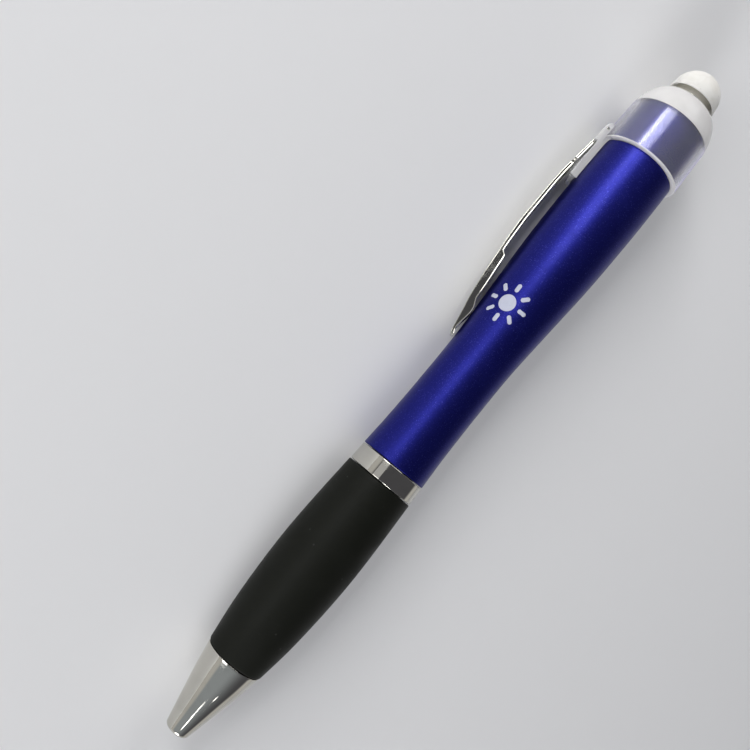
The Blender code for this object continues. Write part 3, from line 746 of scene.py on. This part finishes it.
nearEnd = np.array(pin["dish"] + [(0.0, pin["r"], pin["edge"])]) - (pin["half"], 0.0, 0.0)
farEnd = nearEnd[::-1] * (-1.0, 1.0, 1.0)
clipPin = crossTurned("clip_pin_piece", profileOf(nearEnd, farEnd), pin["at"])
dressed(clipPin, "steel", "barrel", "clip_pin")
print("cap made")

# stamped clip

clip = {
    # along the pen, outer face above the axis, half width, depth of the side walls
    "stations": [
        (120.6, 8.32, 1.8, 0.5), (119.0, 8.42, 1.8, 0.5), (116.5, 8.6, 1.8, 0.5),
        (113.0, 8.96, 1.85, 0.5), (112.2, 9.04, 2.15, 0.5), (111.8, 9.08, 2.2, 0.6),
        (110.0, 9.24, 2.2, 0.6), (107.5, 9.36, 2.2, 0.62), (99.5, 9.42, 2.2, 0.72),
        (97.3, 9.3, 2.2, 0.72), (95.2, 9.14, 2.19, 0.68), (92.9, 8.93, 2.16, 0.66),
        (92.5, 8.89, 2.16, 1.38), (88.2, 8.48, 2.06, 1.44), (85.1, 8.06, 1.98, 1.3),
        (84.0, 7.9, 1.94, 1.2), (83.2, 7.77, 1.92, 1.45), (82.4, 7.61, 1.88, 1.65),
        (81.5, 7.4, 1.82, 1.5), (80.4, 7.18, 1.75, 1.15), (79.4, 6.99, 1.68, 0.8),
        (78.4, 6.81, 1.58, 0.52), (77.55, 6.66, 1.46, 0.52), (77.4, 6.62, 1.44, 0.75),
        (77.1, 6.52, 1.34, 0.65), (76.9, 6.36, 1.18, 0.45),
    ],
    "rings": 380,  # along the clip
    "sheet": 0.45,
    "splay": 0.06,  # lean of the walls below splayFrom
    "splayFrom": 0.7,
    "flare": 0.03,  # the cut edge of each wall turns out by this much over its last stretch
    "flareFrom": 0.16,
    "lip": 77.55,  # the channel fills up to a solid lip about here, over the length of lipBlend
    "lipBlend": 0.2,
    "lipDip": 0.02,
    "bend": 0.09,  # outer rounding of the folds
    "innerBend": 0.05,
    "burr": 0.06,  # rounding of the cut edges
    "foldShare": 0.3,  # bend and flare stay within this share of a wall's depth
    "holdShare": 0.04,  # lines set this close to the folds keep the wall between them flat
    "ease": 0.22,  # how far the steps between stations are eased
    "knuckleR": 0.62,
    "knuckleHalf": 1.7,
    "knuckleEdge": 0.08,
    "boreR": 0.38,
    "boreHalf": 2.6,
}


def eased(at, stations, reach):
    # straight runs between stations, averaged over a short bell-shaped reach so that no step stays sharp
    offsets = np.linspace(-2, 2, 17)
    weights = np.exp(-offsets ** 2)
    weights = weights / weights.sum()
    room = np.minimum(1.0, np.minimum(at - stations[-1, 0], stations[0, 0] - at) / (2 * reach))[:, None]
    spots = at[:, None] + offsets * reach * room
    knots = stations[::-1]
    columns = [(np.interp(spots, knots[:, 0], knots[:, k]) * weights).sum(-1) for k in (1, 2, 3)]
    return np.stack(columns, axis=-1)


def clipStrip():
    # channel section with two flared walls and rounded folds, carried along the clip's stations
    stations = np.array(clip["stations"])
    at = np.linspace(stations[0, 0], stations[-1, 0], clip["rings"])
    out, half, depth = eased(at, stations, clip["ease"]).T
    sheet = clip["sheet"]
    closing = np.clip((clip["lip"] - at) / clip["lipBlend"] + 0.5, 0, 1)
    thick = sheet + (np.maximum(depth - clip["lipDip"], sheet) - sheet) * closing
    knee = half + clip["splay"] * np.maximum(depth - clip["splayFrom"], 0)
    foot = knee + clip["flare"]
    bend = np.minimum(clip["bend"], clip["foldShare"] * depth)
    cut = out - depth
    bentFrom = cut + np.minimum(clip["flareFrom"], clip["foldShare"] * depth)
    hold = clip["holdShare"] * depth
    right = [(half, out), (half, out - bend - hold), (knee, bentFrom + hold), (knee, bentFrom), (foot, cut),
             (foot - sheet, cut), (half - sheet, out - thick)]
    right = np.stack([np.stack(corner, axis=-1) for corner in right], axis=1)
    left = right[:, ::-1] * np.array([-1.0, 1.0])
    corners = np.concatenate([right, left], axis=1)
    none = np.zeros(len(at))
    burr = none + clip["burr"]
    rightRadii = [bend, none, none, none, burr, burr, none + clip["innerBend"]]
    rings = rounded(corners, np.stack(rightRadii + rightRadii[::-1], axis=-1), steps=6)
    return gridPiece("clip_piece", placed(at[:, None], rings[..., 0], rings[..., 1]), capped=True)


knuckle = crossRod("knuckle", clip["knuckleHalf"], clip["knuckleR"], pin["at"], clip["knuckleEdge"])
knuckleBore = crossRod("knuckle_bore", clip["boreHalf"], clip["boreR"], pin["at"])
pocketClip = combined(clipStrip(), [(knuckle, "UNION"), (knuckleBore, "DIFFERENCE")])
dressed(pocketClip, "chrome", "clip", "clip")
print("clip made")

# stylus end

stylus = {
    "length": 139.0,
    "domeR": 4.3,
    "wall": 1.0,
    "skirt": 133.7,  # where the dome's skirt starts
    "skirtR": 4.42,
    "lip": 0.2,  # width of the skirt's lip
    "lipRun": 0.85,  # length of the slope from the lip in to the collar
    "ledge": 135.45,  # the dome's hollow rests on the collar's end here
    "run": 0.1,  # room round the collar
    "collarR": 3.5,
    "collarEnd": 135.3,
    "flange": (127.5, 128.4, 4.6),  # start, end and radius of the collar's flange in the cap
    "stemR": 1.35,
}
flangeStart, flangeEnd, flangeR = stylus["flange"]
collarProfile = profileOf((flangeStart, stylus["stemR"]), (flangeStart, flangeR, 0.1),
                          (flangeEnd, flangeR, 0.15), (flangeEnd, stylus["collarR"], 0.1),
                          (stylus["collarEnd"], stylus["collarR"], 0.15),
                          (stylus["collarEnd"], stylus["stemR"]))
stylusCollar = turned("stylus_collar_piece", collarProfile, 128)
dressed(stylusCollar, "chrome", "button", "stylus_collar")

domeMiddle = (stylus["length"] - stylus["domeR"], 0.0)
hollowR = stylus["domeR"] - stylus["wall"]
seatR = stylus["collarR"] + stylus["run"]
ledgeAngle = math.degrees(math.acos((stylus["ledge"] - domeMiddle[0]) / hollowR))
domeProfile = profileOf(arcPoints(domeMiddle, (stylus["domeR"],) * 2, 0, 88, 44),
                        (stylus["skirt"], stylus["skirtR"], 0.1),
                        (stylus["skirt"], stylus["skirtR"] - stylus["lip"], 0.08),
                        (stylus["skirt"] + stylus["lipRun"], seatR, 0.2), (stylus["ledge"], seatR),
                        arcPoints(domeMiddle, (hollowR,) * 2, ledgeAngle, 0, 24))
stylusTip = turned("stylus_tip_piece", domeProfile, 128, closed=False)
dressed(stylusTip, "white_silicone", "button", "stylus_tip")
print("stylus end made")

# refill point and springs

refill = {
    "ballR": 0.5,
    "ballAt": 2.3,
    "socketR": 0.56,
    "socketArc": (21, 128.7),  # degrees
    "lip": (1.95, 0.6),  # where the lip round the ball lies, and its radius
    "coneEnd": 4.6,
    "shankR": 1.15,
    "stop": (13.9, 15.0, 2.3),  # start, end and radius of the stop behind the spring
    "tail": (18.0, 1.0),  # end and radius of the part inside the tube
    "inkR": 0.2,
}
ballMiddle = (refill["ballAt"], 0.0)
stopStart, stopEnd, stopR = refill["stop"]
tailEnd, tailR = refill["tail"]
tipProfile = profileOf(arcPoints(ballMiddle, (refill["socketR"],) * 2, *refill["socketArc"], 16),
                       (*refill["lip"], 0.04), (refill["coneEnd"], refill["shankR"], 0.6),
                       (stopStart, refill["shankR"], 0.1), (stopStart, stopR, 0.1), (stopEnd, stopR, 0.1),
                       (stopEnd, tailR), (tailEnd, tailR, 0.1), (tailEnd, refill["inkR"]))
refillTip = turned("refill_tip_piece", tipProfile, 72)
dressed(refillTip, "brass", "refill", "refill_tip")
ballProfile = arcPoints(ballMiddle, (refill["ballR"],) * 2, 180, 0, 24)
refillBall = turned("refill_ball_piece", ballProfile, 48, closed=False)
dressed(refillBall, "carbide", "refill", "refill_ball")

springs = {
    # closed is the pitch at the ends as a share of the pitch between them
    # keep is the share of the length that is left when pressed
    "return_spring": {
        "ends": (4.55, 13.55), "radii": (1.85, 1.85), "wire": 0.2, "turns": 8, "closed": 0.45,
        "body": "grip", "pressedBy": "refill_slide", "keep": 0.51,
    },
    "contact_spring": {
        "ends": (99.55, 103.05), "radii": (3.2, 1.7), "wire": 0.2, "turns": 3, "closed": 0.6,
        "body": "barrel",
    },
    "button_spring": {
        "ends": (123.3, 126.1), "radii": (2.0, 2.0), "wire": 0.18, "turns": 3, "closed": 0.6,
        "body": "barrel", "pressedBy": "button_press", "keep": 0.62,
    },
}


def woundSpring(name, spring):
    # round wire carried along a helix whose turns lie closer at both ends
    perTurn = 40
    sides = 14
    opening = 1.1  # turns over which the pitch opens out
    count = spring["turns"] * perTurn + 1
    turn = np.linspace(0, spring["turns"], count)
    fromEnd = np.clip(np.minimum(turn, spring["turns"] - turn) / opening, 0, 1)
    pitch = spring["closed"] + (1 - spring["closed"]) * fromEnd ** 2 * (3 - 2 * fromEnd)
    climb = np.concatenate([[0.0], np.cumsum((pitch[1:] + pitch[:-1]) / 2)])
    s = spring["ends"][0] + (spring["ends"][1] - spring["ends"][0]) * climb / climb[-1]
    radius = np.interp(turn, (0, spring["turns"]), spring["radii"])
    path = np.stack([s, radius * np.cos(tau * turn), radius * np.sin(tau * turn)], axis=-1)
    outward = np.stack([np.zeros(count), np.cos(tau * turn), np.sin(tau * turn)], axis=-1)
    ahead = unit(np.gradient(path, axis=0))
    beside = np.cross(ahead, outward)
    outward = np.cross(beside, ahead)
    phi = np.linspace(0, tau, sides, endpoint=False)[:, None]
    tube = path[:, None] + spring["wire"] * (np.cos(phi) * outward[:, None] + np.sin(phi) * beside[:, None])
    points = placed(tube[..., 0], tube[..., 1], tube[..., 2])
    return gridPiece(name + "_piece", points, capped=True, sharp=60)


for name, spring in springs.items():
    wound = woundSpring(name, spring)
    dressed(wound, "steel", spring["body"], name)
    if "pressedBy" in spring:
        foot = placed(spring["ends"][0] - spring["wire"], 0.0, 0.0)
        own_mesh(wound)
print("refill and springs made")

# inside pieces keep their solids and take the finish of their slot

for part in frame["record"]["subparts"]:
    node = frame["nodes"][part["node"]]
    node.data.materials.clear()
    node.data.materials.append(finishes[part["material_slot"]])

# floor, light and camera

studio = {
    "flat": 0.42,  # the floor is flat to this radius and then curves up to its edge
    "edge": 0.62,
    "rise": 0.03,
    "below": 0.00004,  # gap under the pen
    "floorColour": (0.80, 0.80, 0.81),
    "dimSky": (0.09, 0.09, 0.10),
    "noseSky": (0.36, 0.39, 0.42),
    "lowSky": (0.60, 0.59, 0.57),
    "noseBand": (0.25, 0.6),  # the skies fade into each other over these parts of a direction's x, y and z
    "nearBand": (-0.25, 0.75),
    "lowBand": (0.25, 0.42),
    "lens": 43.2,
}
# sweep: rings about the middle, flat inside and rising as a quarter of a wave outside
flatR = np.linspace(0.0, studio["flat"], 12)
risingR = np.linspace(studio["flat"], studio["edge"], 25)[1:]
ringR = np.concatenate([flatR, risingR])
climb = np.clip((ringR - studio["flat"]) / (studio["edge"] - studio["flat"]), 0, 1)
ringZ = studio["rise"] * (1 - np.cos(climb * math.pi / 2)) - studio["below"]
heading = np.linspace(0, tau, 96, endpoint=False)
floorPoints = np.stack([ringR[:, None] * np.cos(heading), ringR[:, None] * np.sin(heading),
                        ringZ[:, None] + 0 * heading], axis=-1)
floor = gridPiece("studio_floor", floorPoints)
floorMaterial, tree, shader, place = newFinish("paperSweep", Roughness=0.9, Specular_IOR_Level=0.1)
duller = [c * 0.99 for c in studio["floorColour"]]
paper = tinted(tree, duller, studio["floorColour"], effect(tree, fineGrain, place, scale=60.0))
tree.links.new(paper, shader.inputs["Base Color"])
floor.data.materials.append(floorMaterial)

world = bpy.data.worlds.new("studioWorld")
scene.world = world
world.use_nodes = True
# sky: pale low down and dim above, greyer beyond the nose, so that bright metal has something to mirror
tree = world.node_tree
outwards = tree.nodes.new("ShaderNodeTexCoord").outputs["Generated"]
direction = added(tree, "ShaderNodeSeparateXYZ", None, Vector=outwards)
beyond = remapped(tree, direction.outputs[0], studio["noseBand"])
near = remapped(tree, direction.outputs[1], studio["nearBand"], (1.0, 0.0))
low = remapped(tree, direction.outputs[2], studio["lowBand"], (1.0, 0.0))
upperSky = tinted(tree, studio["dimSky"], studio["noseSky"], worked(tree, "MULTIPLY", beyond, near))
tree.links.new(tinted(tree, upperSky, studio["lowSky"], low), tree.nodes["Background"].inputs["Color"])


def stood(name, data, right, up, back, at):
    # lamp or camera at a place, turned by its own three axes
    holder = bpy.data.objects.new(name, data)
    scene.collection.objects.link(holder)
    matrix = np.eye(4)
    matrix[:3] = np.stack([right, up, back, at], axis=-1)
    holder.matrix_world = Matrix(matrix.tolist())
    return holder


lamps = {
    # where it stands, the place along x that it faces if not the middle, size along and across, power
    # the side light is dim opposite the plated ring, which would mirror it as a white block
    "sideBoxCap": {"at": (-0.290, -0.50, 0.35), "faces": -0.290, "size": (0.32, 0.24), "watts": 0.86},
    "sideBoxRing": {"at": (-0.020, -0.50, 0.35), "faces": -0.020, "size": (0.22, 0.24), "watts": 0.08},
    "sideBoxNose": {"at": (0.270, -0.50, 0.35), "faces": 0.270, "size": (0.36, 0.24), "watts": 0.96},
    "capSideBox": {"at": (-0.28, -0.49, 0.345), "size": (0.34, 0.24), "watts": 0.85},
    "capGlint": {"at": (-0.31, -0.47, 0.19), "size": (0.11, 0.09), "watts": 0.55},
    "noseEndBox": {"at": (0.78, 0.06, 0.32), "size": (0.3, 0.3), "watts": 3.2},
    "capEndBox": {"at": (-0.64, -0.06, 0.42), "size": (0.4, 0.4), "watts": 1.1},
    "noseGlint": {"at": (0.585, -0.071, 0.545), "size": (0.09, 0.014), "watts": 0.024},
    "noseSpark": {"at": (0.529, 0.193, 0.555), "size": (0.03, 0.016), "watts": 0.007},
}
for name, lamp in lamps.items():
    light = bpy.data.lights.new(name, "AREA")
    light.shape = "RECTANGLE"
    light.size, light.size_y = lamp["size"]
    light.energy = lamp["watts"]
    away = unit(np.array(lamp["at"]) - (lamp.get("faces", 0.0), 0.0, 0.0))
    side = unit(np.cross((0.0, 0.0, 1.0), away))
    stood(name, light, side, np.cross(away, side), away, lamp["at"])

sight = {
    # the pen as the camera sees it: right, down and forward
    "noseAt": (-31.564, 56.302, 142.707),  # nose end, millimetres
    "penRuns": (0.636, -0.7681, 0.075),  # from nose to stylus
    "penFaces": (-0.0128, -0.1078, -0.9941),  # from the pen's middle towards the camera
}
runs = unit(sight["penRuns"])
faces = unit(np.array(sight["penFaces"]) - runs * np.dot(sight["penFaces"], runs))
clipWay = np.cross(faces, runs)
noseSeen = np.array(sight["noseAt"])
right, down, forward = np.stack([runs, -faces, clipWay], axis=-1) @ penAxes
eye = placed(-noseSeen @ runs, noseSeen @ faces, -noseSeen @ clipWay)
lens = bpy.data.cameras.new("sightLens")
lens.lens = studio["lens"]
lens.sensor_width = 36.0
lens.clip_start = 0.005
lens.clip_end = 20.0
scene.camera = stood("sightCamera", lens, right, -down, -forward, eye)
scene.view_settings.view_transform = "Standard"
print("studio ready")
